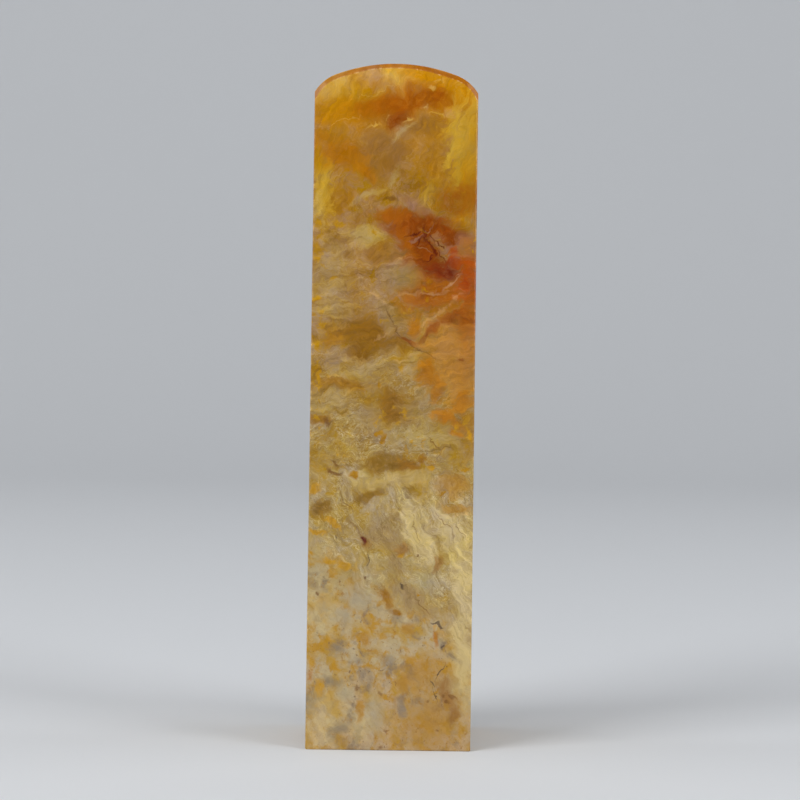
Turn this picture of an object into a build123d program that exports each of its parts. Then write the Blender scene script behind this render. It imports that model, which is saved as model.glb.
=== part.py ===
from build123d import *
import os
from math import asin, atan, cos, degrees, radians, sin, tan

# The block of stone: a tall square column that narrows a little towards its crown
height = 103.5
base_width = 25.0
base_depth = 25.0
side_lean = 0.25
arris_radius = 0.3
base_rounding = 0.2

# The crown: a shallow barrel vault that runs from front to back
crown_radius = 25.6
shoulder_radius = 6.4
shoulder_slope = 58.5
shoulder_run_on = 4
arch_bevel = 0.62

# The printing face: a raised border round four squared spirals, cut in relief
border_width = 1.6
line_width = 1.1
relief_depth = 0.9
spiral_steps = 4

# How far the tools that shape the stone reach past its faces
cut_margin = 0.5

# A rounding at the foot stays inside the rounding of the corners
foot_share = 0.9

top_width = base_width - 2 * side_lean
top_depth = base_depth - 2 * side_lean


def crown_outline(inset):
    """The front view of the crown and all below it, with the crown drawn in by the inset.

    One wide arc over the middle runs smoothly into a tighter arc at each shoulder. The tight
    arc runs on a little past the side of the block, and a straight line leads on from it."""
    shoulder_x = top_width / 2 - shoulder_radius * sin(radians(shoulder_slope))
    join = asin(shoulder_x / (crown_radius - shoulder_radius))
    crown_z = height - crown_radius
    shoulder_z = crown_z + (crown_radius - shoulder_radius) * cos(join)
    join_angle = degrees(join)
    end_angle = shoulder_slope + shoulder_run_on
    sweep = end_angle - join_angle
    wide = crown_radius - inset
    tight = shoulder_radius - inset
    end_x = shoulder_x + tight * sin(radians(end_angle))
    end_z = shoulder_z + tight * cos(radians(end_angle))
    side_x = base_width / 2 + cut_margin
    side_z = end_z - (side_x - end_x) * tan(radians(end_angle))
    foot_z = -cut_margin
    over = CenterArc((0, crown_z), wide, 90 - join_angle, 2 * join_angle)
    right = CenterArc((shoulder_x, shoulder_z), tight, 90 - end_angle, sweep)
    left = CenterArc((-shoulder_x, shoulder_z), tight, 90 + join_angle, sweep)
    below = Polyline(
        (-end_x, end_z),
        (-side_x, side_z),
        (-side_x, foot_z),
        (side_x, foot_z),
        (side_x, side_z),
        (end_x, end_z),
    )
    return make_face(over + right + left + below)


def crown_form():
    """The vault carried from front to back, with a bevel of equal legs along both arches."""
    full_y = top_depth / 2 - arch_bevel
    outer_y = base_depth / 2 + cut_margin
    full_outline = crown_outline(0)
    outer_outline = crown_outline(outer_y - full_y)
    vault = extrude(Plane.XZ * full_outline, full_y, both=True)
    for side in (-1, 1):
        inner = Plane.XZ.offset(side * full_y) * full_outline
        outer = Plane.XZ.offset(side * outer_y) * outer_outline
        vault += loft([inner, outer], ruled=True)
    return vault


def block():
    """The column with its upright arrises and the edge of its foot rounded."""
    lean_angle = degrees(atan(side_lean / height))
    column = extrude(Rectangle(base_width, base_depth), height, taper=lean_angle)
    column = fillet(column.edges().filter_by(GeomType.LINE).group_by(Axis.Z)[1], arris_radius)
    foot = column.faces().sort_by(Axis.Z)[0]
    return fillet(foot.edges(), min(base_rounding, foot_share * arris_radius))


def spiral_path(groove_x, groove_y, field_x, field_y):
    """The middle line of one squared spiral, from the corner of the field inwards.

    A step is one line and one groove wide. The first three runs are equally long, and each
    run after them is one step shorter than the run two before it."""
    step_x = line_width + groove_x
    step_y = line_width + groove_y
    start_x = -field_x + groove_x + line_width / 2
    start_y = -field_y + groove_y + line_width / 2
    runs = [spiral_steps]
    for steps in range(spiral_steps, 0, -1):
        runs += [steps, steps]
    column, row = 0, 0
    points = [(start_x, start_y)]
    for turn, steps in enumerate(runs):
        along_x, along_y = ((1, 0), (0, 1), (-1, 0), (0, -1))[turn % 4]
        column += along_x * steps
        row += along_y * steps
        points.append((start_x + column * step_x, start_y + row * step_y))
    return Polyline(*points)


def sunk_ground():
    """The ground between the raised lines, which is cut away to leave them standing."""
    field_x = base_width / 2 - border_width
    field_y = base_depth / 2 - border_width
    lines = spiral_steps + 1
    grooves = lines + 0.5
    groove_x = (field_x - lines * line_width) / grooves
    groove_y = (field_y - lines * line_width) / grooves
    spiral = trace(spiral_path(groove_x, groove_y, field_x, field_y), line_width)
    pair = spiral + mirror(spiral, about=Plane.YZ)
    fret = pair + mirror(pair, about=Plane.XZ)
    return extrude(Rectangle(2 * field_x, 2 * field_y) - fret, relief_depth)


# The seal stone: one piece, shaped from one block
seal_stone = (block() & crown_form()) - sunk_ground()
seal_stone.label = "seal_stone"

os.makedirs("parts", exist_ok=True)
export_step(seal_stone, "parts/seal_stone.step")
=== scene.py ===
import math
import bpy
import numpy as np
from mathutils import Matrix, Vector


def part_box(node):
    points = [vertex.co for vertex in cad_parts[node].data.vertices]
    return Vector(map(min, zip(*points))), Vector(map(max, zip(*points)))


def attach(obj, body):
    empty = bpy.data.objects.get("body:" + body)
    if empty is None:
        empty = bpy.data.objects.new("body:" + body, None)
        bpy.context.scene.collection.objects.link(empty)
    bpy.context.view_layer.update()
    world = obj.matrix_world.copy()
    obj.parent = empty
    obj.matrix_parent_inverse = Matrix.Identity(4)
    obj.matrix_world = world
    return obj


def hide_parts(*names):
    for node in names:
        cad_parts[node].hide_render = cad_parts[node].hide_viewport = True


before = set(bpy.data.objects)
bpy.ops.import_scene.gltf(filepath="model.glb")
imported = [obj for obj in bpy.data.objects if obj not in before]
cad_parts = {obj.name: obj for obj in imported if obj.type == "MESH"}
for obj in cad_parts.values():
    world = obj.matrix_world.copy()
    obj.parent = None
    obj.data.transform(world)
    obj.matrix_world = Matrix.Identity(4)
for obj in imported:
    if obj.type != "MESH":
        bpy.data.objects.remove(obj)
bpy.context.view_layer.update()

# The block of stone
# A square column sawn from the rock and ground flat on four sides, which narrows a little
# upwards. Its crown is ground to a shallow vault, with a bevel along the two arches, and
# its arrises are eased with a fine stone before it is polished.
mm = 0.001
block_low, block_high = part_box("seal_stone")
foot_half = (block_high.x - block_low.x) / 2 / mm
height = block_high.z / mm
side_lean = 0.25
arris_radius = 0.3
foot_rounding = 0.2
crown_half = foot_half - side_lean
crown_radius = 25.6
shoulder_radius = 6.4
shoulder_slope = math.radians(58.5)
shoulder_run_on = math.radians(4)
arch_bevel = 0.62
bevel_softness = 0.07
bevel_waver_share = 0.12
bevel_waver_length = 7
ridge_width = 0.13

# The printing face
# What prints is left standing: a border and four squared spirals, a plain fret. The ground
# between them is cut away with a knife, so its floor is a little uneven and its walls lean.
border_width = 1.6
line_width = 1.1
relief_depth = 0.9
wall_run = 0.08
spiral_steps = 4
knife_marks = 0.05
knife_mark_length = 1.7
knife_mark_squeeze = 2.2
hand_wander = 0.02
hand_wander_length = 2.3
field_half = foot_half - border_width
groove = (field_half - (spiral_steps + 1) * line_width) / (spiral_steps + 1.5)
line_step = line_width + groove


def spiral_runs():
    """The rectangles of one spiral as (low x, low y, high x, high y), for the corner where x
    and y are least. The first three runs are equal and each later one is a step shorter than
    the run two before it."""
    runs = [spiral_steps]
    for steps in range(spiral_steps, 0, -1):
        runs += [steps, steps]
    start = -field_half + groove + line_width / 2
    place = np.array([start, start])
    found = []
    for turn, steps in enumerate(runs):
        along = np.array(((1, 0), (0, 1), (-1, 0), (0, -1))[turn % 4])
        far = place + along * steps * line_step
        pair = np.stack([place, far])
        found.append((*(pair.min(0) - line_width / 2), *(pair.max(0) + line_width / 2)))
        place = far
    return found


def stands(x, y):
    """True where the printing face is left standing: outside the field, or on a spiral."""
    hair = 1e-6
    left, front = -np.abs(x), -np.abs(y)
    up = (left < -field_half + hair) | (front < -field_half + hair)
    for low_x, low_y, high_x, high_y in spiral_runs():
        inside_x = (left > low_x - hair) & (left < high_x + hair)
        inside_y = (front > low_y - hair) & (front < high_y + hair)
        up |= inside_x & inside_y
    return up


# The skin of the block is one mesh. Across each side its lines stand at the same stops, so
# that the printing face, the four sides and the crown meet point for point. Edges that
# turn by more than the sharp angle stay crisp.
widest_cell = 0.45
bevel_steps = (-2.5, -1.2, 0, 1.2, 2.5)
arc_steps = 3
foot_turns = np.radians((22.5, 45, 67.5))
rows_up = 142
rows_replaced = 3
rows_near_edges = np.array([0.12, 0.3, 0.7, 1.3])
sharp_angle = math.radians(50)


def grid_stops():
    """Places of the mesh's lines across a side, from the middle of the stone to both ends of
    its straight run: at the top and foot of each cut wall, along the bevel, and between."""
    walls = [0, field_half]
    feet = [field_half - wall_run]
    for number in range(spiral_steps + 1):
        outer = field_half - groove - number * line_step
        walls += [outer, outer - line_width]
        feet += [outer + wall_run, outer - line_width - wall_run]
    straight = foot_half - arris_radius
    shoulder = (crown_half - arch_bevel) * straight / (crown_half - arris_radius)
    bevel = [shoulder + step * bevel_softness for step in bevel_steps]
    places = np.array(sorted(walls + feet + bevel + [straight]))
    filled = [places[0]]
    for low, high in zip(places[:-1], places[1:]):
        cells = max(1, math.ceil((high - low) / widest_cell))
        filled += list(low + (high - low) * np.arange(1, cells + 1) / cells)
    filled = np.array(filled)
    return np.concatenate([-filled[:0:-1], filled])


stops = grid_stops()
count = 2 * arc_steps + len(stops)


def side_run(half, radius):
    """Where the samples of one side lie: how far across, and how far out from the middle.
    Half a corner's arc, the straight run with the grid's stops, and half the next arc."""
    straight = half - radius
    turn = np.radians(45) * np.arange(arc_steps, 0, -1) / arc_steps
    across = straight + radius * np.sin(turn)
    out = straight + radius * np.cos(turn)
    middle = stops * straight / stops[-1]
    return (
        np.concatenate([-across, middle, across[::-1]]),
        np.concatenate([out, np.full(len(stops), half), out[::-1]]),
    )


def ring(half, radius):
    """A rounded square as one closed loop, anticlockwise from above, from the corner at the
    front left: the same run of samples turned by a quarter for each side."""
    across, out = (part[:-1] for part in side_run(half, radius))
    sides = [(across, -out), (out, across), (-across, out), (-out, -across)]
    return np.concatenate([np.stack(side, axis=-1) for side in sides])


def patch(half, radius):
    """The same rounded square filled with a square grid: each line runs straight between its
    two ends, and is drawn in towards the corners as the edge is."""
    across, out = side_run(half, radius)
    corner = across[-1]
    share = across / corner
    x = across[:, None] + share[:, None] * (out[None, :] - corner)
    y = across[None, :] + share[None, :] * (out[:, None] - corner)
    return np.stack([x, y], axis=-1)


def lifted(flat, up):
    """Points of a plane with their height added."""
    up = np.broadcast_to(up, flat.shape[:-1])
    return np.concatenate([flat, up[..., None]], axis=-1)


def waves(place, length, seed):
    """A slow, even unevenness: the sum of six waves of about the given length in mm that run
    in seeded directions. It lies between about -1 and 1."""
    chance = np.random.default_rng(seed)
    total = np.zeros(place.shape[:-1])
    for _ in range(6):
        way = chance.normal(size=3)
        way /= np.linalg.norm(way)
        turn = 2 * np.pi / (length * chance.uniform(0.7, 1.5))
        total += np.sin(place @ way * turn + chance.uniform(0, 2 * np.pi))
    return total / 3


def carved_face():
    """The printing face, and which of its points are cut. The cut ground lies at the relief's
    depth, give or take the knife's marks, and the hand that cut it has wandered a little."""
    flat = patch(foot_half - foot_rounding, arris_radius - foot_rounding)
    cut = ~stands(*flat.transpose(2, 0, 1))
    squeezed = lifted(flat, 0) * [1, knife_mark_squeeze, 1]
    knife = knife_marks * waves(squeezed, knife_mark_length, seed=3)
    face = lifted(flat, cut * (relief_depth + knife))
    face[..., :2] += hand_wander * waves(face, hand_wander_length, seed=4)[..., None]
    return face, cut


def bevel_inset(x, y):
    """How far the bevel draws the crown in: nothing over the vault, and then as much as the
    distance past the bevel's inner edge, with that edge a little rounded and uneven."""
    waver = waves(lifted(np.stack([x, y], axis=-1), 0), bevel_waver_length, seed=11)
    width = arch_bevel * (1 + bevel_waver_share * waver)
    past = np.abs(y) - (crown_half - width)
    return (past + np.sqrt(past**2 + bevel_softness**2)) / 2


def crown_height(x, inset):
    """Height of the crown at x, drawn in by the inset: a wide arc over the middle, a tighter
    arc that runs on from it at each shoulder, and a straight slope past the side."""
    end = shoulder_slope + shoulder_run_on
    middle = crown_half - shoulder_radius * math.sin(shoulder_slope)
    join = math.asin(middle / (crown_radius - shoulder_radius))
    wide_z = height - crown_radius
    tight_z = wide_z + (crown_radius - shoulder_radius) * math.cos(join)
    wide = crown_radius - inset
    tight = shoulder_radius - inset
    away = np.abs(x)
    last = middle + tight * math.sin(end)
    over = wide_z + np.sqrt(np.maximum(wide**2 - away**2, 0))
    shoulder = tight_z + np.sqrt(np.maximum(tight**2 - (away - middle) ** 2, 0))
    slope = tight_z + tight * math.cos(end) - (away - last) * math.tan(end)
    found = np.where(away < wide * math.sin(join), over, shoulder)
    return np.where(away > last, slope, found)


def crown_face():
    """The crown over its rounded square: the vault, drawn in by the bevel at both arches."""
    flat = patch(crown_half, arris_radius)
    x, y = flat[..., 0], flat[..., 1]
    return lifted(flat, crown_height(x, bevel_inset(x, y)))


def side_rings(crown_edge):
    """Rings up the four sides: a few round the rounding of the foot, and then straight blends
    of the lowest ring and the crown's edge. They lie in even rows, of which the ones next to
    either are replaced by rings that lie closer together."""
    rings = []
    for turn in foot_turns:
        inward = foot_rounding * (1 - math.sin(turn))
        up = foot_rounding * (1 - math.cos(turn))
        rings.append(lifted(ring(foot_half - inward, arris_radius - inward), up))
    lowest = lifted(ring(foot_half, arris_radius), foot_rounding)
    near = rows_near_edges / height
    between = np.linspace(0, 1, rows_up)[rows_replaced:-rows_replaced]
    for share in np.concatenate([[0], near, between, 1 - near[::-1]]):
        rings.append(lowest + (crown_edge - lowest) * share)
    return np.array(rings)


def edge_points():
    """Row and column of a grid's outer points, anticlockwise from the front left corner."""
    index = np.arange(count)
    last = count - 1
    row = np.concatenate([index[:-1], np.full(last, last), index[:0:-1], np.zeros(last, int)])
    return row, np.roll(row, last)


def grid_faces(start):
    """The quads of a grid whose points are numbered from the start, turned upwards."""
    number = start + np.arange(count**2).reshape(count, count)
    quads = [number[:-1, :-1], number[1:, :-1], number[1:, 1:], number[:-1, 1:]]
    return np.stack(quads, axis=-1).reshape(-1, 4)


def edge_wear_and_highlight(rings, crown):
    """How far each point of the sides and of the crown lies on an eased edge, from 0 to 1, which
    marks both wear and a painted highlight: wholly round the foot and along the crown's rim, and
    towards the middle of each arris. On the crown it falls off from its rim and from the bevel's
    inner edge as a bell curve."""
    row, column = edge_points()
    middle = (count - 1) / 2
    corner = np.abs(row - middle) + np.abs(column - middle) - 2 * middle
    arris = np.clip((corner + arc_steps + 0.5) / arc_steps, 0, 1)
    sides = np.tile(arris, (len(rings), 1))
    sides[: len(foot_turns)] = 1
    sides[-1] = 1
    from_ridge = (np.abs(crown[..., 1]) - crown_half + arch_bevel) / ridge_width
    from_rim = (crown_half - np.abs(crown[..., :2]).max(-1)) / ridge_width
    on_crown = np.maximum(np.exp(-(from_ridge**2)), np.exp(-(from_rim**2)))
    return sides, on_crown


def stone_mesh():
    """The block as one closed skin: the printing face, rings up the four sides, and the crown.
    Returns its points in mm, its faces, and marks from 0 to 1 for each point."""
    foot, cut = carved_face()
    crown = crown_face()
    row, column = edge_points()
    rings = side_rings(crown[row, column])
    points = np.concatenate([part.reshape(-1, 3) for part in (foot, rings, crown)])
    first, last = count**2, len(points) - count**2
    edge = row * count + column
    loops = np.arange(first, last).reshape(rings.shape[:2])
    loops = np.vstack([edge, loops, last + edge])
    after = np.roll(loops, -1, axis=1)
    sides = np.stack([loops[:-1], after[:-1], after[1:], loops[1:]], axis=-1)
    faces = np.concatenate([grid_faces(0)[:, ::-1], grid_faces(last), sides.reshape(-1, 4)])
    marks = {name: np.zeros(len(points)) for name in ("cut", "wear_and_highlight", "bevel_painted_shade")}
    marks["cut"][:first] = cut.ravel()
    # The eased edges are marked for wear and for a painted highlight
    marks["wear_and_highlight"][first:] = np.concatenate([part.ravel() for part in edge_wear_and_highlight(rings, crown)])
    # Past the bevel's ridge the crown is marked for a painted shade
    past_ridge = np.abs(crown[..., 1]) > crown_half - arch_bevel + ridge_width / 2
    marks["bevel_painted_shade"][last:] = past_ridge.ravel()
    return points, faces, marks


points, faces, marks = stone_mesh()
mesh = bpy.data.meshes.new("carved_stone")
mesh.from_pydata((points * mm).tolist(), [], faces.tolist())
for name, values in marks.items():
    mesh.attributes.new(name, "FLOAT", "POINT").data.foreach_set("value", values)
mesh.update()
mesh.shade_smooth()
mesh.set_sharp_from_angle(angle=sharp_angle)
stone = bpy.data.objects.new("carved_stone", mesh)
bpy.context.scene.collection.objects.link(stone)
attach(stone, "root")
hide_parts("seal_stone")

# The polished stone
# Amber soapstone, sawn, ground on finer and finer papers and rubbed with wax, so that it is
# smooth, with a soft, even gloss. Its colour runs through the whole block and is laid out in
# space, in mm: cream and gold, drifts of other minerals, and fibres, specks and cracks.


def linear(code):
    """A colour written as sRGB hex, such as c89428, as the linear colour that a node takes."""
    part = np.array([int(code[n : n + 2], 16) for n in (0, 2, 4)]) / 255
    part = np.where(part <= 0.04045, part / 12.92, ((part + 0.055) / 1.055) ** 2.4)
    return (*part.tolist(), 1.0)


material = bpy.data.materials.new("polished_amber_soapstone")
material.use_nodes = True
tree = material.node_tree
tree.nodes.clear()


def add(kind, inputs=None, out=0, **settings):
    """Adds a node with its settings, fills or links its inputs, and returns one output."""
    node = tree.nodes.new("ShaderNode" + kind)
    for name, value in settings.items():
        setattr(node, name, value)
    for key, value in (inputs or {}).items():
        if isinstance(value, bpy.types.NodeSocket):
            tree.links.new(value, node.inputs[key])
        else:
            node.inputs[key].default_value = value
    return node.outputs[out]


def drift(at, length, reach, detail):
    """The place pushed about by cloudy noise of a given length, by up to about a fifth of the
    reach, both in mm."""
    noise = {"Vector": at, "Scale": 1 / length, "Detail": detail, "Roughness": 0.55}
    noise = add("TexNoise", noise, "Color")
    push = add("VectorMath", {0: noise, 1: (0.5, 0.5, 0.5)}, operation="SUBTRACT")
    push = add("VectorMath", {0: push, "Scale": reach}, operation="SCALE")
    return add("VectorMath", {0: at, 1: push}, operation="ADD")


def shifted(at, away):
    """Places moved far off, so that a second pattern there isn't the first one over again."""
    return add("VectorMath", {0: at, 1: (away, away * 1.7, -away)}, operation="ADD")


def cloud(at, length, detail, roughness, low, high, kind="LINEAR"):
    """Cloudy noise with features of about the length in mm, stretched so that its low value
    becomes 0 and its high value 1."""
    noise = {"Vector": at, "Scale": 1 / length, "Detail": detail, "Roughness": roughness}
    noise = add("TexNoise", noise, "Fac")
    return add("MapRange", {0: noise, 1: low, 2: high}, interpolation_type=kind)


def stained(colour, code, *shares):
    """The colour with another laid over it, by one share or the product of several."""
    share, *others = shares
    for other in others:
        share = add("Math", {0: share, 1: other}, operation="MULTIPLY")
    return add("Mix", {0: share, 6: colour, 7: linear(code)}, 2, data_type="RGBA")


def tinted(colour, share, first, last):
    """The colour multiplied by a tint that runs from the first to the last with a share."""
    tint = add("Mix", {0: share, 6: (*first, 1), 7: (*last, 1)}, 2, data_type="RGBA")
    return add("Mix", {0: 1.0, 6: colour, 7: tint}, 2, data_type="RGBA", blend_type="MULTIPLY")


# The patterns lie in bent places, as the rock was folded while it was still soft
place = add("TexCoord", out="Object")
place = add("VectorMath", {0: place, "Scale": 1 / mm}, operation="SCALE")
bent = drift(place, length=4.0, reach=3.2, detail=2)
bent = drift(bent, length=0.9, reach=1.3, detail=5)
swirled = drift(bent, length=9.0, reach=12.0, detail=3)
bent_up = add("SeparateXYZ", {0: bent}, "Z")
bent_across = add("SeparateXYZ", {0: bent}, "X")
up_share = add("Math", {0: bent_up, 1: height}, operation="DIVIDE")

# The fibres fall to the right in the low part of the stone, rise gently about the middle and
# lie steeply in the high part. Their ways are turned up from level by so many degrees, and all
# of them tilt a little into the stone. One way passes into the next between two heights in mm.
fibre_turns = (-56, 14, 64)
fibre_tilt = math.radians(20)
fibre_swing = math.radians(8)
fibre_breadth_share = 1.2
falling_from, falling_below = 44, 38
steep_from, steep_above = 74, 84
falling = {0: bent_up, 1: falling_from, 2: falling_below}
falling = add("MapRange", falling, interpolation_type="SMOOTHSTEP")
steep = {0: bent_up, 1: steep_from, 2: steep_above}
steep = add("MapRange", steep, interpolation_type="SMOOTHSTEP")


def combed(at, turn, long, broad, thin):
    """Places measured along a way of the fibres and across it, in parts of the given length,
    breadth and thickness in mm, so that a pattern laid there is drawn out along the fibres."""
    turned = {
        "Vector": at,
        "Rotation": (fibre_tilt, -math.radians(turn), fibre_swing),
        "Scale": (long, broad, thin),
    }
    return add("Mapping", turned, vector_type="TEXTURE")


def by_part(patterns, below, above):
    """Three patterns, for the low, middle and high parts of the stone, each blended into the
    next. Below and above say how far a place lies in the low or in the high part."""
    low, middle, high = patterns
    both = add("Mix", {0: below, 2: middle, 3: low})
    return add("Mix", {0: above, 2: both, 3: high})


def streaks(turn, long, thin):
    """Streaks that lie along one way: cloudy noise that is squeezed across it."""
    at = combed(bent, turn, long, long * fibre_breadth_share, thin)
    return cloud(at, length=1.0, detail=3, roughness=0.62, low=0.3, high=0.7)


def fibres(long, thin):
    """Streaks of a length and thickness in mm, whose way changes with height."""
    return by_part([streaks(turn, long, thin) for turn in fibre_turns], falling, steep)


strands = fibres(5.0, 0.8)
hairs = fibres(2.4, 0.26)
fine = cloud(bent, length=0.8, detail=4, roughness=0.6, low=0.32, high=0.68)


def by_height(bands):
    """A colour for each height in mm, blended from one to the next."""
    colour = add("ValToRGB", {0: up_share})
    ramp = colour.node.color_ramp
    while len(ramp.elements) < len(bands):
        ramp.elements.new(0.5)
    for element, (up, code) in zip(ramp.elements, bands):
        element.position = up / height
        element.color = linear(code)
    return colour


# The ground of the stone is cream, with gold and a darker shade over it in clouds. Each of
# the three is given at heights in mm. Up to about a third of the way up all three are paler and
# greyer, partly the stone's own colour and partly a painted reflection of the pale floor.
cream = by_height([
    (0, "b8a080"), (14, "b8a482"), (28, "b4a276"), (40, "b09a70"), (52, "a48a52"),
    (64, "aa8a60"), (76, "aa865e"), (86, "aa8256"), (96, "c6944e"), (103, "ce9c54"),
])
gold = by_height([
    (0, "b5852c"), (14, "b48824"), (28, "ac8a2a"), (40, "a47e0a"), (52, "a27904"),
    (64, "a27404"), (76, "a0720a"), (86, "a47600"), (96, "bb7b00"), (103, "c78100"),
])
shade = by_height([
    (0, "84643a"), (14, "80643e"), (28, "785c2e"), (40, "725420"), (52, "764e0c"),
    (64, "764c08"), (76, "764a10"), (86, "7e4e02"), (96, "925400"), (103, "9a5c00"),
])

# The foot is blotched rather than fibrous, up to a line that falls to the right. Its slope is
# in mm up for each mm across, and the blotches fade out between two heights in mm.
blotch_slope = 0.6
blotched_from, blotched_below = 28, 20
fibre_loss_share = 0.65
slanted = add("Math", {0: bent_across, 1: blotch_slope, 2: bent_up}, operation="MULTIPLY_ADD")
foot = {0: slanted, 1: blotched_from, 2: blotched_below}
foot = add("MapRange", foot, interpolation_type="SMOOTHSTEP")
fibrous = add("Math", {0: foot, 1: -fibre_loss_share, 2: 1.0}, operation="MULTIPLY_ADD")

# The gold takes in some of the fine grain and the shade some of the strands
gold_share = cloud(swirled, length=3.6, detail=6, roughness=0.7, low=0.37, high=0.61)
gold_share = add("Math", {0: fine, 1: 0.3, 2: gold_share}, operation="MULTIPLY_ADD")
gold_share = add("Math", {0: gold_share, 1: 0.15}, operation="SUBTRACT", use_clamp=True)
gold_share = add("Math", {0: gold_share, 1: fibrous}, operation="MULTIPLY")
shade_places = shifted(swirled, 40.0)
shade_share = cloud(shade_places, length=3.0, detail=5, roughness=0.65, low=0.42, high=0.78)
shade_share = add("Math", {0: strands, 1: 0.35, 2: shade_share}, operation="MULTIPLY_ADD")
shade_share = {0: shade_share, 1: 0.7, 2: -0.08}
shade_share = add("Math", shade_share, operation="MULTIPLY_ADD", use_clamp=True)
shade_share = add("Math", {0: shade_share, 1: fibrous}, operation="MULTIPLY")
colour = add("Mix", {0: gold_share, 6: cream, 7: gold}, 2, data_type="RGBA")
colour = add("Mix", {0: shade_share, 6: colour, 7: shade}, 2, data_type="RGBA")

# Fine pale threads wind through the ground, most of them from a fifth to half the way up, in
# places where the rock is creased. Their ways change between two pairs of heights in mm. Each
# row has the three ways in degrees, the length, thickness and shift of the stretched noise in
# mm, the width of the lines in parts of that noise, the strength and the colour.
low_from, low_below = 48, 38
high_from, high_above = 72, 82
creased_below, smooth_above = 46, 64
low_part = {0: bent_up, 1: low_from, 2: low_below}
low_part = add("MapRange", low_part, interpolation_type="SMOOTHSTEP")
high_part = {0: bent_up, 1: high_from, 2: high_above}
high_part = add("MapRange", high_part, interpolation_type="SMOOTHSTEP")
creased = add("MapRange", {0: bent_up, 1: creased_below, 2: smooth_above, 3: 1.0, 4: 0.2})
creased = add("Math", {0: creased, 1: fibrous}, operation="MULTIPLY")
creased_places = cloud(swirled, length=4.0, detail=3, roughness=0.5, low=0.38, high=0.58)
creased = add("Math", {0: creased, 1: creased_places}, operation="MULTIPLY")


def thread(turn, long, thin, away, width):
    """Hair-thin winding lines that lie along a way: where stretched noise crosses its middle.
    Their width is in parts of the noise."""
    along = combed(shifted(bent, away), turn, long, long, thin)
    noise = {"Vector": along, "Scale": 1.0, "Detail": 4.0, "Roughness": 0.6}
    noise = add("TexNoise", noise, "Fac")
    off = add("Math", {0: noise, 1: 0.5}, operation="SUBTRACT")
    off = add("Math", {0: off}, operation="ABSOLUTE")
    return add("MapRange", {0: off, 1: width, 2: 0.0}, interpolation_type="SMOOTHSTEP")


def threads(turns, long, thin, away, width):
    """The lines of the three parts of the stone, whose ways are turned up by these degrees."""
    lines = [thread(turn, long, thin, away, width) for turn in turns]
    return by_part(lines, low_part, high_part)


for turns, long, thin, away, width, amount, code in (
    ((-54, 16, 68), 2.8, 0.8, 7.0, 0.03, 0.5, "dccb98"),
    ((-60, 24, 74), 1.2, 0.45, 19.0, 0.035, 0.36, "dccc9e"),
):
    lines = threads(turns, long, thin, away, width)
    colour = stained(colour, code, lines, creased, amount)

# Mottling of cream, gold, grey and rust covers the foot and thins out a third of the way up.
# Each row has a length and a shift in mm, the values of the noise that become 0 and 1, the
# strength and the colour.
mottle_reach_share = 1.4


def mottle(length, away, low, high):
    """Blotches of about the given length in mm, with soft winding edges."""
    at = drift(shifted(place, away), length, mottle_reach_share * length, detail=3)
    return cloud(at, length, 4, 0.5, low, high, "SMOOTHSTEP")


for length, away, low, high, amount, code in (
    (7.0, 47.0, 0.44, 0.62, 0.6, "b0a07c"),
    (3.6, 3.0, 0.42, 0.68, 0.95, "b08614"),
    (1.7, 83.0, 0.48, 0.68, 0.9, "b0800a"),
    (2.6, 31.0, 0.5, 0.74, 0.85, "7a6a58"),
    (0.6, 57.0, 0.6, 0.7, 0.6, "9a6818"),
    (0.5, 71.0, 0.64, 0.72, 0.7, "5f4531"),
):
    colour = stained(colour, code, mottle(length, away, low, high), foot, amount)

# The colours of the minerals that stain the stone
minerals = {
    "pale_amber": "d8ae54", "peach_cream": "c89e68", "golden": "b88600", "amber": "b67a00",
    "bright_amber": "ca8800", "orange": "aa6a00", "burnt_orange": "9e5402", "tan": "906428",
    "old_gold": "a4700c", "dull_gold": "a87a28", "straw": "c29a30", "buff": "b89c5c",
    "drab": "987c4c", "pale_drab": "a89058", "grey_cream": "aa9c7e", "peach": "b27a2e",
    "rust": "863e00", "red": "a43c00", "oxblood": "742600", "dark_oxblood": "5c1a00",
    "umber": "6a3e0c", "mauve_brown": "966a48", "olive_brown": "865a06", "olive_orange": "926200",
    "olive": "845f0e", "cream": "c4ad77", "grey": "827460", "dark_gold": "a47200",
    "slate_brown": "4a382c",
}

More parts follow.
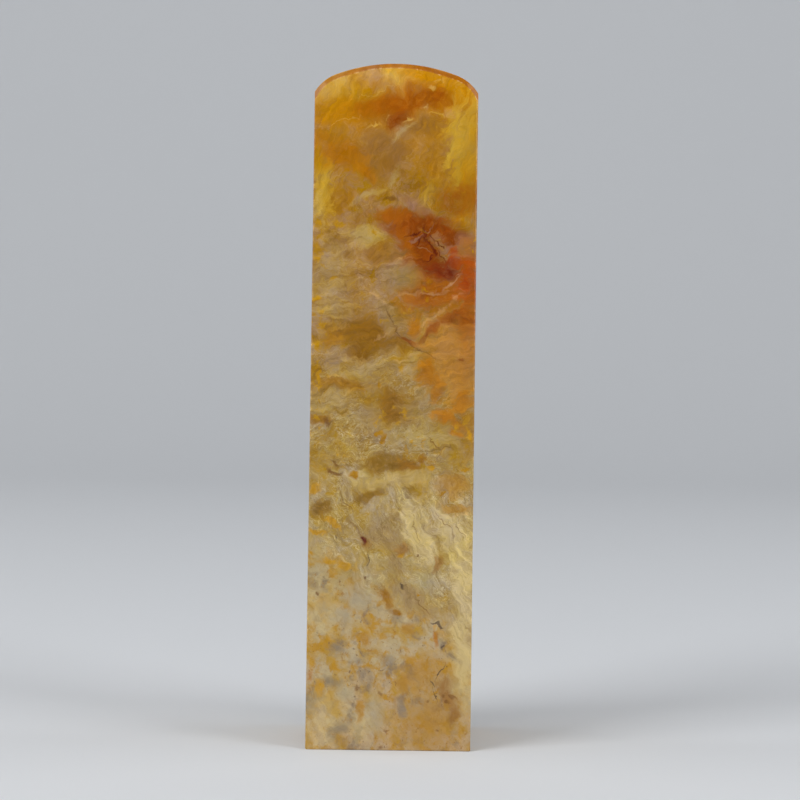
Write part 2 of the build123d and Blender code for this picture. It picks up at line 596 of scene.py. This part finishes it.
# The drifts of mineral that can be told apart, in families. Each family has a mineral, the
# strength of its stain, the softness and the raggedness of its edges, the half depth of its
# bodies in mm, and its bodies. Each of these is an egg-shaped lump in the rock, given on the
# front by how far across and up its middle is, its half length and half width, all in mm, and
# by how many degrees its length is turned up from level.
families = [
    # Broad zones of the crown
    ("pale_amber", 0.8, 0.7, 0.8, 6, [(-9.5, 100.3, 3.6, 1.9, 18), (0.5, 101.9, 3.0, 1.3, 0)]),
    ("peach_cream", 0.6, 0.8, 0.9, 4, [(-4.3, 101.8, 1.5, 1.2, 0), (8.2, 96.8, 1.0, 0.7, 40)]),
    ("golden", 0.7, 0.7, 0.9, 5, [(-6.5, 98.3, 4.5, 1.7, 10)]),
    ("amber", 0.95, 0.55, 0.6, 7, [(-8.5, 95.9, 4.9, 1.9, 3)]),
    ("orange", 0.95, 0.55, 0.6, 7, [(-3.0, 96.6, 4.0, 1.6, 14)]),
    ("bright_amber", 0.95, 0.6, 0.6, 7, [(8.2, 99.6, 5.2, 2.6, -14), (4.6, 101.5, 3.6, 1.3, -10)]),
    ("burnt_orange", 0.95, 0.6, 0.6, 6, [(1.6, 97.8, 5.6, 1.8, 14), (6.0, 98.4, 2.8, 1.5, 0)]),
    # Tan, gold and straw below it
    ("tan", 0.85, 0.65, 1.0, 5, [(-2.4, 90.2, 3.4, 3.8, 0), (4.2, 94.0, 3.6, 1.8, 15)]),
    ("old_gold", 0.8, 0.65, 1.0, 5, [(-9.6, 92.6, 3.0, 1.2, 0)]),
    ("tan", 0.7, 0.8, 1.1, 4, [(0.5, 89.8, 2.5, 1.3, 70), (-4.6, 80.4, 2.4, 0.5, 30)]),
    ("old_gold", 0.8, 0.6, 1.3, 5, [(6.4, 89.0, 5.6, 2.8, 86), (-9.2, 83.4, 2.8, 2.0, 0)]),
    ("straw", 0.8, 0.6, 1.3, 5, [(10.4, 91.6, 6.6, 2.2, 90), (-10.8, 84.5, 4.0, 1.6, 90)]),
    ("golden", 0.85, 0.6, 1.0, 4, [(10.4, 84.8, 4.6, 2.0, 90), (-11.2, 88.8, 1.6, 1.2, 90)]),
    ("orange", 0.9, 0.55, 0.8, 4, [(-7.8, 89.6, 3.2, 2.2, -22), (-4.9, 87.5, 2.2, 0.9, -42)]),
    ("straw", 0.55, 0.9, 1.4, 3, [
        (8.7, 92.4, 4.6, 0.5, 84), (11.6, 92.0, 4.6, 0.5, 90), (9.8, 87.4, 3.6, 0.6, 80),
        (5.0, 83.6, 2.0, 0.9, 60),
    ]),
    ("buff", 0.55, 0.8, 1.4, 3, [
        (1.2, 93.0, 1.6, 0.4, 45), (-4.0, 83.8, 2.5, 0.35, 25), (-0.2, 86.4, 2.0, 0.5, 60),
    ]),
    # The red patch and what lies under it
    ("peach", 0.8, 0.75, 1.0, 6, [(9.0, 61.0, 4.2, 5.6, 0), (10.4, 55.6, 2.4, 3.6, 0)]),
    ("burnt_orange", 0.9, 0.6, 0.9, 6, [
        (6.6, 69.4, 5.2, 2.8, 8), (11.2, 65.6, 1.8, 2.6, 0), (11.6, 68.6, 1.2, 2.2, 0),
    ]),
    ("rust", 1.0, 0.5, 0.8, 6, [
        (4.2, 78.9, 5.6, 2.3, -8), (8.4, 77.9, 3.0, 1.7, -25), (3.9, 75.3, 3.6, 2.9, -35),
    ]),
    ("red", 0.9, 0.9, 1.6, 5, [(11.4, 72.2, 1.6, 3.2, 0), (9.6, 74.0, 1.8, 1.0, -30)]),
    ("oxblood", 0.9, 0.6, 0.9, 4, [(7.7, 72.7, 2.5, 1.5, 0)]),
    ("mauve_brown", 0.7, 0.5, 0.8, 4, [(11.3, 76.6, 1.7, 1.6, 0), (3.2, 82.3, 2.2, 1.0, -28)]),
    ("burnt_orange", 0.8, 0.6, 1.0, 3, [
        (1.9, 76.2, 2.6, 0.9, -62), (0.0, 80.6, 1.8, 0.9, -10), (2.0, 74.2, 1.4, 1.2, 0),
    ]),
    # Olive and grey about the middle
    ("olive_brown", 0.85, 0.75, 1.0, 5, [
        (-6.4, 64.0, 3.0, 1.7, 10), (0.2, 61.4, 2.4, 1.1, 0), (-2.3, 63.8, 1.2, 1.0, 0),
    ]),
    ("olive_brown", 0.85, 0.6, 0.8, 5, [
        (-4.0, 62.0, 2.7, 2.3, 15), (0.1, 52.3, 2.3, 2.3, 0), (-4.7, 60.2, 2.2, 1.3, 0),
    ]),
    ("olive_brown", 0.8, 0.6, 0.9, 4, [(0.6, 50.2, 2.8, 1.2, 0)]),
    ("old_gold", 0.75, 0.7, 1.0, 4, [(-8.0, 55.4, 3.6, 0.9, 0), (-8.6, 62.3, 1.6, 1.0, 20)]),
    ("drab", 0.75, 0.7, 1.0, 5, [
        (-1.0, 66.0, 2.6, 1.3, -50), (4.0, 51.6, 2.8, 1.6, 0), (1.0, 71.4, 2.4, 1.8, 0),
        (-3.5, 50.5, 1.3, 1.8, 0),
    ]),
    ("pale_drab", 0.75, 0.7, 1.0, 5, [(4.4, 47.4, 4.2, 2.0, 0)]),
    ("tan", 0.85, 0.55, 0.9, 4, [(-2.5, 75.6, 1.8, 1.6, 0), (0.2, 74.7, 1.8, 0.8, 10)]),
    ("olive", 0.9, 0.45, 0.8, 4, [(-0.9, 43.4, 3.7, 1.3, 2), (-10.3, 36.6, 1.5, 1.3, 0)]),
    ("olive", 0.85, 0.45, 0.8, 4, [(-3.6, 38.8, 2.2, 0.8, 14)]),
    ("buff", 0.8, 0.5, 0.9, 5, [
        (-4.2, 77.6, 2.8, 1.3, -4), (2.4, 41.3, 3.6, 1.0, 4), (-3.0, 40.5, 3.8, 0.9, -6),
    ]),
    ("drab", 0.8, 0.6, 1.0, 5, [
        (-1.0, 32.6, 3.4, 2.2, 0), (0.8, 35.6, 1.6, 0.9, 60), (3.4, 23.2, 3.6, 1.2, -38),
        (0.8, 28.4, 1.4, 2.0, 0),
    ]),
    ("cream", 0.92, 0.45, 0.8, 5, [(4.3, 33.0, 5.0, 2.1, -68), (9.2, 31.8, 6.0, 1.9, -66)]),
    ("cream", 0.95, 0.6, 0.7, 5, [(11.2, 22.0, 14.0, 1.5, 90), (7.6, 35.6, 2.4, 0.8, -50)]),
    ("dull_gold", 0.85, 0.5, 0.8, 4, [(9.4, 40.2, 2.4, 1.7, 0), (10.2, 36.9, 2.2, 0.7, -6)]),
    ("buff", 0.5, 0.8, 1.2, 5, [
        (-9.8, 72.0, 5.0, 2.6, 84), (-4.0, 57.6, 4.6, 1.5, 4), (-9.6, 66.6, 2.6, 2.0, 0),
        (-9.8, 52.6, 3.0, 1.8, 0), (-11.4, 81.0, 2.2, 1.0, 80), (2.6, 59.3, 2.2, 0.7, 20),
    ]),
    ("peach", 0.6, 0.8, 1.0, 5, [
        (10.2, 57.6, 2.4, 1.4, 20), (9.8, 62.8, 2.6, 0.9, 30), (4.8, 61.5, 1.2, 0.7, 0),
    ]),
    # Grey and orange at the foot
    ("grey_cream", 0.75, 0.7, 0.9, 5, [
        (-4.7, 23.2, 2.0, 2.2, 0), (5.6, 25.4, 2.2, 1.3, 0), (-7.2, 20.6, 1.6, 1.3, 0),
        (-2.2, 5.4, 1.6, 3.2, 0), (-6.4, 8.8, 1.2, 1.2, 0),
    ]),
    ("dull_gold", 0.75, 0.8, 1.2, 5, [(5.0, 11.2, 2.6, 3.0, 0), (6.2, 4.6, 4.6, 4.2, 0)]),
    ("tan", 0.85, 0.6, 1.0, 4, [(9.0, 9.0, 1.3, 2.4, 0), (9.7, 5.4, 0.9, 1.5, 0)]),
    ("cream", 0.5, 0.8, 1.0, 4, [
        (-9.8, 4.8, 2.6, 4.6, 0), (-10.2, 21.6, 2.2, 3.2, 0), (-4.6, 3.4, 1.6, 2.0, 0),
        (10.6, 13.0, 1.4, 3.0, 0),
    ]),
    # Painted shade: these bands darken the front along its right edge, from the middle up
    ("burnt_orange", 0.4, 0.8, 1.2, 4, [(11.9, 66.0, 9.0, 1.8, 90)]),
    ("old_gold", 0.45, 0.8, 1.2, 4, [(11.9, 87.0, 7.0, 1.5, 90), (11.8, 50.0, 5.0, 2.0, 90)]),
    # Smaller drifts
    ("orange", 0.9, 0.55, 1.0, 2, [
        (3.0, 64.0, 1.6, 0.9, -65), (5.2, 57.2, 2.3, 1.4, 90), (6.6, 55.0, 1.9, 1.1, 80),
        (7.9, 51.0, 1.4, 1.1, 0), (11.0, 53.3, 1.0, 0.4, 20), (9.6, 48.2, 0.9, 0.5, 0),
    ]),
    ("olive_orange", 0.9, 0.55, 1.0, 2, [
        (2.6, 43.1, 1.9, 0.85, 0), (4.7, 44.0, 0.9, 0.8, 0), (-11.4, 49.9, 1.4, 0.5, -8),
        (-0.9, 23.4, 1.8, 0.8, -55), (0.9, 21.4, 1.0, 0.5, -25),
    ]),
    ("orange", 0.85, 0.7, 1.2, 2, [
        (9.2, 49.9, 1.8, 0.6, -22), (10.7, 52.2, 1.4, 1.2, 0), (-12.0, 11.5, 0.5, 0.9, 0),
        (6.8, 17.2, 1.2, 0.4, 90),
    ]),
    ("golden", 0.85, 0.45, 0.9, 1.6, [
        (-11.6, 75.4, 1.2, 0.7, 90), (-11.7, 68.2, 0.7, 0.5, 0), (-8.1, 79.5, 0.8, 0.45, 0),
        (-11.4, 61.4, 0.9, 0.5, 90), (-11.2, 56.6, 0.9, 0.5, 90), (1.3, 57.6, 0.55, 0.5, 0),
        (11.7, 47.6, 1.1, 0.5, 90), (-11.2, 39.5, 0.9, 0.7, 0), (11.0, 42.8, 1.1, 0.3, 25),
        (6.2, 42.9, 0.8, 0.5, 90),
    ]),
    ("golden", 0.85, 0.5, 0.9, 1.6, [
        (-11.1, 33.3, 1.9, 0.5, -14), (-11.8, 30.3, 0.6, 0.4, -45), (-9.2, 28.8, 1.4, 0.45, 8),
        (-7.2, 28.0, 0.9, 0.4, -35), (-11.5, 13.9, 0.9, 1.2, 0), (-10.2, 9.4, 0.9, 1.2, 0),
        (-8.7, 34.3, 1.8, 0.3, -25), (1.7, 29.5, 0.4, 0.5, 0),
    ]),
    ("dull_gold", 0.85, 0.5, 0.9, 1.6, [
        (-3.8, 17.1, 0.9, 1.1, 0), (-4.3, 5.8, 0.7, 1.5, 0), (2.6, 9.9, 0.9, 1.2, 0),
        (2.6, 18.4, 0.8, 1.1, 0),
    ]),
    ("grey", 0.75, 0.9, 1.5, 1.6, [
        (-8.0, 15.2, 1.2, 0.8, 0), (-8.4, 10.3, 1.0, 0.6, 0), (-7.4, 3.0, 1.3, 0.8, 80),
        (-0.3, 13.3, 0.9, 0.8, 0), (2.4, 6.7, 1.3, 0.45, 90),
    ]),
    ("tan", 0.8, 0.5, 0.9, 1.6, [(7.2, 28.4, 1.4, 0.65, 68), (1.8, 30.5, 1.0, 1.0, 0)]),
    ("rust", 0.9, 0.7, 0.9, 2, [(0.3, 94.8, 2.0, 0.9, 36)]),
    ("umber", 0.75, 0.6, 0.9, 1.6, [
        (-9.6, 49.4, 1.0, 0.4, -10), (-8.8, 42.1, 1.2, 0.3, -28), (-8.6, 43.4, 0.8, 0.2, -40),
    ]),
    ("rust", 0.75, 0.6, 0.8, 3, [
        (5.8, 63.3, 1.9, 0.5, 48), (8.6, 65.3, 2.4, 0.8, 26), (2.6, 61.8, 1.5, 0.4, -18),
        (10.3, 58.9, 0.7, 0.25, 0),
    ]),
    ("mauve_brown", 0.7, 0.5, 1.3, 1.2, [
        (3.5, 77.0, 1.0, 0.35, 20), (8.0, 75.8, 1.2, 0.35, 20), (6.4, 77.2, 0.9, 0.6, 0),
        (4.4, 75.4, 0.8, 0.14, -30), (5.4, 78.6, 0.8, 0.12, 40), (5.0, 81.6, 0.7, 0.4, 0),
    ]),
    ("dark_oxblood", 0.85, 0.5, 1.3, 1.2, [
        (4.9, 77.7, 1.4, 0.3, 96), (5.8, 75.5, 1.1, 0.3, -55), (3.0, 78.0, 1.3, 0.12, 10),
        (7.0, 76.4, 0.9, 0.12, -30), (4.2, 76.6, 0.9, 0.1, 60), (6.0, 77.2, 0.8, 0.1, -70),
        (5.3, 74.2, 0.8, 0.1, 20), (7.4, 74.6, 1.0, 0.1, -45),
    ]),
    ("red", 0.8, 0.6, 1.0, 1.5, [(9.5, 75.3, 1.0, 0.4, -20), (10.6, 70.4, 0.5, 1.2, 0)]),
    ("cream", 0.75, 0.6, 1.0, 1.6, [(-5.9, 41.6, 1.5, 1.2, 0)]),
    ("dark_gold", 0.95, 0.35, 0.6, 1.2, [
        (-5.9, 41.6, 0.75, 0.65, 0), (8.1, 38.7, 0.4, 0.25, 0), (4.4, 23.3, 0.3, 0.2, 0),
        (-2.0, 47.7, 0.45, 0.5, 0), (-1.5, 46.9, 0.4, 0.6, 0), (-2.3, 55.2, 0.4, 0.5, 0),
    ]),
    ("olive_orange", 0.75, 0.7, 0.8, 1.2, [(-3.7, 31.6, 1.1, 0.8, -48)]),
    ("dark_oxblood", 0.95, 0.4, 0.6, 0.9, [(-3.9, 31.8, 0.75, 0.5, -48)]),
    ("golden", 0.8, 0.5, 0.9, 1.4, [
        (-11.4, 79.2, 0.4, 0.4, 0), (-11.9, 73.8, 0.5, 0.4, 0), (-11.9, 65.2, 0.5, 0.3, 0),
        (-9.0, 71.3, 0.6, 0.3, 0), (11.4, 49.7, 0.7, 0.5, 0),
    ]),
    ("pale_amber", 0.6, 0.7, 1.2, 1.4, [
        (5.4, 99.6, 0.5, 0.3, 0), (4.8, 96.9, 0.4, 0.15, 60), (-3.5, 94.1, 1.0, 0.15, 20),
        (1.8, 94.9, 0.5, 0.12, 50),
    ]),
    ("umber", 0.6, 0.6, 1.2, 1.2, [
        (-1.2, 12.4, 0.5, 0.15, 0), (-1.2, 8.6, 0.5, 0.25, -45), (-4.7, 9.3, 0.3, 0.25, 0),
        (8.8, 8.3, 0.3, 0.25, 0), (10.0, 8.1, 0.25, 0.35, 0), (9.0, 7.0, 0.35, 0.25, 0),
        (5.7, 7.6, 0.3, 0.3, 0), (7.4, 2.8, 0.4, 0.3, 0), (-1.0, 0.8, 0.6, 0.3, 0),
        (0.2, 3.3, 0.5, 0.15, 0),
    ]),
    ("umber", 0.7, 0.6, 1.0, 1.0, [
        (-10.5, 23.4, 0.25, 0.2, 0), (-8.0, 25.6, 0.2, 0.25, 0), (-3.4, 26.7, 0.25, 0.2, 0),
        (4.1, 29.7, 0.2, 0.25, 0), (-1.0, 83.1, 0.9, 0.25, 5), (1.3, 15.3, 0.2, 0.2, 0),
    ]),
    # Veins and cracks
    ("pale_amber", 0.36, 0.9, 1.5, 2, [
        (-8.2, 94.3, 2.4, 0.05, 14), (-2.5, 99.2, 3.2, 0.07, 22), (6.8, 96.0, 1.6, 0.12, -8),
        (-1.0, 95.2, 0.5, 0.15, 20), (6.2, 101.0, 0.9, 0.08, 18),
    ]),
    ("peach_cream", 0.42, 0.95, 1.5, 2, [
        (3.0, 69.0, 1.4, 0.22, 15), (5.8, 69.2, 2.0, 0.2, 4), (8.4, 70.4, 1.7, 0.2, 36),
        (0.4, 73.6, 1.8, 0.3, 5), (-2.6, 68.6, 2.6, 0.25, -42), (-1.0, 62.9, 0.7, 0.12, 32),
        (6.6, 65.8, 3.4, 0.2, 40), (2.2, 59.2, 2.2, 0.15, 24), (10.4, 35.8, 2.2, 0.12, 4),
        (-2.2, 62.3, 0.6, 0.12, 30),
    ]),
    ("umber", 0.65, 0.8, 1.3, 2, [
        (-0.4, 65.3, 1.5, 0.08, -62), (0.9, 63.0, 1.3, 0.1, -48), (4.6, 60.3, 2.4, 0.12, -29),
        (-5.5, 71.9, 0.9, 0.1, -5), (6.7, 46.2, 1.2, 0.07, -62), (7.5, 45.2, 1.0, 0.07, 48),
        (-5.4, 33.8, 1.6, 0.14, -52), (8.2, 34.0, 2.6, 0.06, -60), (10.2, 33.2, 1.4, 0.06, -45),
        (4.9, 21.9, 1.6, 0.1, -48), (-7.0, 37.6, 1.5, 0.12, -50), (3.9, 33.4, 2.2, 0.05, -65),
    ]),
    ("slate_brown", 0.85, 0.5, 1.2, 1.5, [
        (7.5, 19.3, 0.9, 0.16, -14), (8.3, 15.6, 0.3, 0.35, 0), (6.7, 10.2, 1.0, 0.12, -60),
        (7.0, 8.4, 1.3, 0.1, -76), (7.6, 11.9, 1.4, 0.1, 76), (2.0, 24.6, 0.7, 0.16, -60),
        (-8.0, 32.2, 0.3, 0.14, -50), (-3.2, 28.8, 0.8, 0.08, 90),
    ]),
]

# Some bodies like those on the front lie at about the same heights on the sides that aren't
# seen. They are a little larger, and their heights in mm and turns in degrees differ by chance.
unseen_share = 0.3
unseen_spread_share = 0.85
unseen_growth = 1.15
unseen_height_change = 3.5
unseen_turn_change = 15
least_up, most_up = 2, height - 3


def bodies_of(number, front):
    """The bodies of a family as (turn of the side, across, up, long, wide, turn): those on the
    front, and some like them on each of the three other sides."""
    chance = np.random.default_rng(number)
    found = [(0.0, *body) for body in front]
    for side in (90, 180, 270):
        for _, up, long, wide, turn in front:
            if chance.random() < unseen_share:
                across = chance.uniform(-unseen_spread_share, unseen_spread_share) * foot_half
                up += chance.normal(0, unseen_height_change)
                up = min(max(up, least_up), most_up)
                turn += chance.normal(0, unseen_turn_change)
                found.append((side, across, up, long * unseen_growth, wide * unseen_growth, turn))
    return found


def inside(at, bodies, soft, ragged, deep):
    """A share from 0 to 1 of how far inside the nearest of these bodies a place lies."""
    nearest = None
    for side, across, up, long, wide, turn in bodies:
        angle = math.radians(side)
        middle = (
            across * math.cos(angle) + foot_half * math.sin(angle),
            across * math.sin(angle) - foot_half * math.cos(angle),
            up,
        )
        settings = {
            "Vector": at,
            "Location": middle,
            "Rotation": (0, -math.radians(turn), angle),
            "Scale": (long, deep, wide),
        }
        local = add("Mapping", settings, vector_type="TEXTURE")
        away = add("VectorMath", {0: local}, "Value", operation="LENGTH")
        if nearest is not None:
            away = add("Math", {0: nearest, 1: away}, operation="MINIMUM")
        nearest = away
    rough = add("Math", {0: uneven, 1: -ragged, 2: ragged / 2}, operation="MULTIPLY_ADD")
    edge = add("Math", {0: nearest, 1: rough}, operation="ADD")
    return add("MapRange", {0: edge, 1: 1 + soft, 2: 1 - soft}, interpolation_type="SMOOTHSTEP")


# A stain is a little thinner or thicker from grain to grain, and its edge is uneven as the
# fibres are. Each drift has also dragged the rock that it lies in by some tenths of a mm, so
# the next family is laid in pushed places.
drag = (0.12, 0.12, -0.2)
thinnest_share, thickest_share = 0.8, 1.2
uneven = add("Math", {0: fine, 1: strands}, operation="ADD")
uneven = add("Math", {0: uneven, 1: 0.5}, operation="MULTIPLY")
at = bent
for number, (mineral, strength, soft, ragged, deep, front) in enumerate(families):
    share = inside(at, bodies_of(number, front), soft, ragged, deep)
    change = (thinnest_share - thickest_share) * strength
    filled = {0: fine, 1: change, 2: thickest_share * strength}
    filled = add("Math", filled, operation="MULTIPLY_ADD")
    colour = stained(colour, minerals[mineral], share, filled)
    push = add("VectorMath", {0: drag, "Scale": share}, operation="SCALE")
    at = add("VectorMath", {0: at, 1: push}, operation="ADD")

# Yellow specks lie over the drifts in clusters from the foot's mottling up to the crown, and
# all along the left edge of the front. The heights and places that bound them are in mm.
specks_from, specks_above = 38, 46
crown_from, crown_below = 84, 78
edge_from, edge_beyond = -8.5, -11.5
above_foot = add("MapRange", {0: bent_up, 1: specks_from, 2: specks_above})
below_crown = add("MapRange", {0: bent_up, 1: crown_from, 2: crown_below})
left_edge = add("MapRange", {0: bent_across, 1: edge_from, 2: edge_beyond})
speckled = add("Math", {0: left_edge, 1: mottle(7.0, 91.0, 0.54, 0.64)}, operation="MAXIMUM")
speckled = add("Math", {0: speckled, 1: above_foot}, operation="MULTIPLY")
speckled = add("Math", {0: speckled, 1: below_crown}, operation="MULTIPLY")
colour = stained(colour, "b48400", mottle(0.9, 17.0, 0.54, 0.64), speckled, 0.75)

# Dark hairline cracks, plainest where the rock is creased
dark_lines = threads((-50, 10, 62), 2.2, 0.9, 43.0, 0.02)
dark_share = add("Math", {0: creased, 1: 0.3, 2: 0.02}, operation="MULTIPLY_ADD")
dark_lines = add("Math", {0: dark_lines, 1: dark_share}, operation="MULTIPLY")
colour = stained(colour, "4e310c", dark_lines)

# The fibres' own light and shade, over all of it and quieter at the crown and at the foot
grain_weights = ((hairs, 0.26), (strands, 0.5), (fine, 0.18))
grain = -sum(weight for _, weight in grain_weights) / 2
for pattern, weight in grain_weights:
    grain = add("Math", {0: pattern, 1: weight, 2: grain}, operation="MULTIPLY_ADD")
crown_grain = add("MapRange", {0: bent_up, 1: 80, 2: 86, 3: 0.9, 4: 0.6})
grain_share = add("Math", {0: crown_grain, 1: fibrous}, operation="MULTIPLY")
grain = add("Math", {0: grain, 1: grain_share, 2: 0.5}, operation="MULTIPLY_ADD", use_clamp=True)
colour = tinted(colour, grain, (0.5, 0.42, 0.3), (1.5, 1.56, 1.64))

# Motes that are greyer or more golden, fainter low down
mote_places = shifted(bent, 23.0)
motes = cloud(mote_places, length=4.0, detail=7, roughness=0.8, low=0.33, high=0.67)
motes = add("Math", {0: motes, 1: 0.5}, operation="SUBTRACT")
calmed = add("MapRange", {0: bent_up, 1: 28, 2: 46, 3: 0.5, 4: 1.0})
calmed = add("Math", {0: calmed, 1: fibrous}, operation="MULTIPLY")
motes = add("Math", {0: motes, 1: calmed, 2: 0.5}, operation="MULTIPLY_ADD")
colour = tinted(colour, motes, (0.94, 1.0, 1.6), (1.06, 1.0, 0.4))

# Painted shade: the bevel faces up towards the lamp above, and is tinted darker and more orange
bevel_painted_shade = add("Attribute", out="Fac", attribute_name="bevel_painted_shade")
colour = tinted(colour, bevel_painted_shade, (1.0, 1.0, 1.0), (0.72, 0.52, 0.36))

# The eased edges and the bevel's ridge are painted pale as a highlight, and are worn, so they
# have lost some of their polish; the cut ground of the printing face was never polished
polish_low, polish_high = 0.13, 0.2
worn_roughness = 0.25
cut_roughness = 0.4
wear_and_highlight = add("Attribute", out="Fac", attribute_name="wear_and_highlight")
wear_and_highlight = add("Math", {0: uneven, 1: wear_and_highlight, 2: 0.5}, operation="MULTIPLY_ADD")
wear_and_highlight = add("MapRange", {0: wear_and_highlight, 1: 1.0, 2: 1.5, 3: 0.0, 4: 0.8})
cut = add("Attribute", out="Fac", attribute_name="cut")
# Painted highlight: pale colour along the eased edges and the bevel's ridge
colour = stained(colour, "e8cc98", wear_and_highlight)
colour = stained(colour, "c8b890", cut, 0.4)
rough = add("MapRange", {0: uneven, 1: 0.2, 2: 0.8, 3: polish_low, 4: polish_high})
rough = add("Math", {0: wear_and_highlight, 1: worn_roughness, 2: rough}, operation="MULTIPLY_ADD")
rough = add("Math", {0: cut, 1: cut_roughness, 2: rough}, operation="MULTIPLY_ADD")

# Under the polish the surface keeps a faint waviness, and its cracks stay a little open
wave_depth = 0.03
wave_places = shifted(place, 67.0)
wavy = cloud(wave_places, length=5.0, detail=2, roughness=0.4, low=0.3, high=0.7)
wavy = add("Math", {0: dark_lines, 1: -1.5, 2: wavy}, operation="MULTIPLY_ADD")
wavy = add("Math", {0: uneven, 1: 0.3, 2: wavy}, operation="MULTIPLY_ADD")
bump = add("Bump", {"Height": wavy, "Distance": wave_depth * mm, "Strength": 0.6})

# The wax's index of refraction gives the gloss its strength
wax_index = 1.45
surface = {"Base Color": colour, "Roughness": rough, "Normal": bump, "IOR": wax_index}
surface = add("BsdfPrincipled", surface)
tree.links.new(surface, tree.nodes.new("ShaderNodeOutputMaterial").inputs["Surface"])
mesh.materials.append(material)

# The floor and the backdrop
# One sheet of pale matt paper, which lies flat under the stone, curves up behind it and hangs
# straight from there. It shows soft shadows and no gloss. Its sizes are in metres.
sheet_half = 2.2
sheet_front = -2.0
sheet_back = 1.1
sheet_top = 2.0
curve_radius = 0.6
curve_steps = 24
paper_roughness = 0.9
curve = np.radians(np.linspace(0, 90, curve_steps + 1))
back = sheet_back - curve_radius * (1 - np.sin(curve))
up = curve_radius * (1 - np.cos(curve))
back = [sheet_front, *back.tolist(), sheet_back]
up = [0.0, *up.tolist(), sheet_top]
sheet_points = [(x, y, z) for x in (-sheet_half, sheet_half) for y, z in zip(back, up)]
line = len(back)
sheet_faces = [(n, line + n, line + n + 1, n + 1) for n in range(line - 1)]
sheet_mesh = bpy.data.meshes.new("paper_backdrop")
sheet_mesh.from_pydata(sheet_points, [], sheet_faces)
sheet_mesh.shade_smooth()
paper = bpy.data.materials.new("matt_paper")
paper.use_nodes = True
paper_surface = paper.node_tree.nodes["Principled BSDF"]
paper_surface.inputs["Base Color"].default_value = linear("dde0e4")
paper_surface.inputs["Roughness"].default_value = paper_roughness
sheet_mesh.materials.append(paper)
backdrop = bpy.data.objects.new("paper_backdrop", sheet_mesh)
bpy.context.scene.collection.objects.link(backdrop)

# The light
# Two broad soft boxes stand in front, a tall one at each side, whose light runs down the
# arrises, and one hangs above. Nothing bright stands straight in front, where the polished
# face would mirror it. Each has its place, width and height in metres and its power in watts.
lamps = [
    ("front_left_box", (-0.85, -0.75, 0.70), 0.7, 0.9, 10.2),
    ("front_right_box", (0.9, -0.7, 0.45), 0.6, 0.9, 7.0),
    ("left_box", (-0.75, 0.10, 0.35), 0.5, 1.0, 2.0),
    ("right_box", (0.75, 0.10, 0.35), 0.5, 1.0, 2.0),
    ("top_box", (0.0, -0.45, 1.1), 0.6, 0.5, 2.0),
]
aim = Vector((0, 0, height / 2 * mm))
for name, spot, wide, tall, power in lamps:
    lamp = bpy.data.lights.new(name, "AREA")
    lamp.shape = "RECTANGLE"
    lamp.size = wide
    lamp.size_y = tall
    lamp.energy = power
    holder = bpy.data.objects.new(name, lamp)
    holder.location = spot
    holder.rotation_euler = (aim - Vector(spot)).to_track_quat("-Z", "Y").to_euler()
    bpy.context.scene.collection.objects.link(holder)

# The world adds a faint fill of pale grey, and is brighter where the camera sees it past the
# ends of the sheet, so that the backdrop goes on there
world_fill = 0.08
world_seen = 0.6
world = bpy.data.worlds.new("studio")
world.use_nodes = True
world_light = world.node_tree.nodes["Background"]
world_light.inputs["Color"].default_value = linear("eceef0")
seen = world.node_tree.nodes.new("ShaderNodeLightPath").outputs["Is Camera Ray"]
level = world.node_tree.nodes.new("ShaderNodeMapRange")
level.inputs["To Min"].default_value = world_fill
level.inputs["To Max"].default_value = world_seen
world.node_tree.links.new(seen, level.inputs["Value"])
world.node_tree.links.new(level.outputs["Result"], world_light.inputs["Strength"])
bpy.context.scene.world = world

# The camera
# A long lens half a metre in front of the stone, a little above its middle, held about a
# degree off level, as in the photograph. Its place and what it looks at are in mm.
lens = 150.0
sensor = 36.0
front_distance = 500.3
camera_height = 80.4
aim_across = 1.14
aim_up = 53.1
roll = math.radians(0.79)
camera_data = bpy.data.cameras.new("camera")
camera_data.lens = lens
camera_data.sensor_width = sensor
camera = bpy.data.objects.new("camera", camera_data)
stand = Vector((0, -(foot_half + front_distance), camera_height)) * mm
look = Vector((aim_across, -foot_half, aim_up)) * mm - stand
facing = look.to_track_quat("-Z", "Y").to_matrix().to_4x4()
camera.matrix_world = Matrix.Translation(stand) @ facing @ Matrix.Rotation(roll, 4, "Z")
bpy.context.scene.collection.objects.link(camera)
bpy.context.scene.camera = camera
bpy.context.scene.view_settings.view_transform = "Standard"
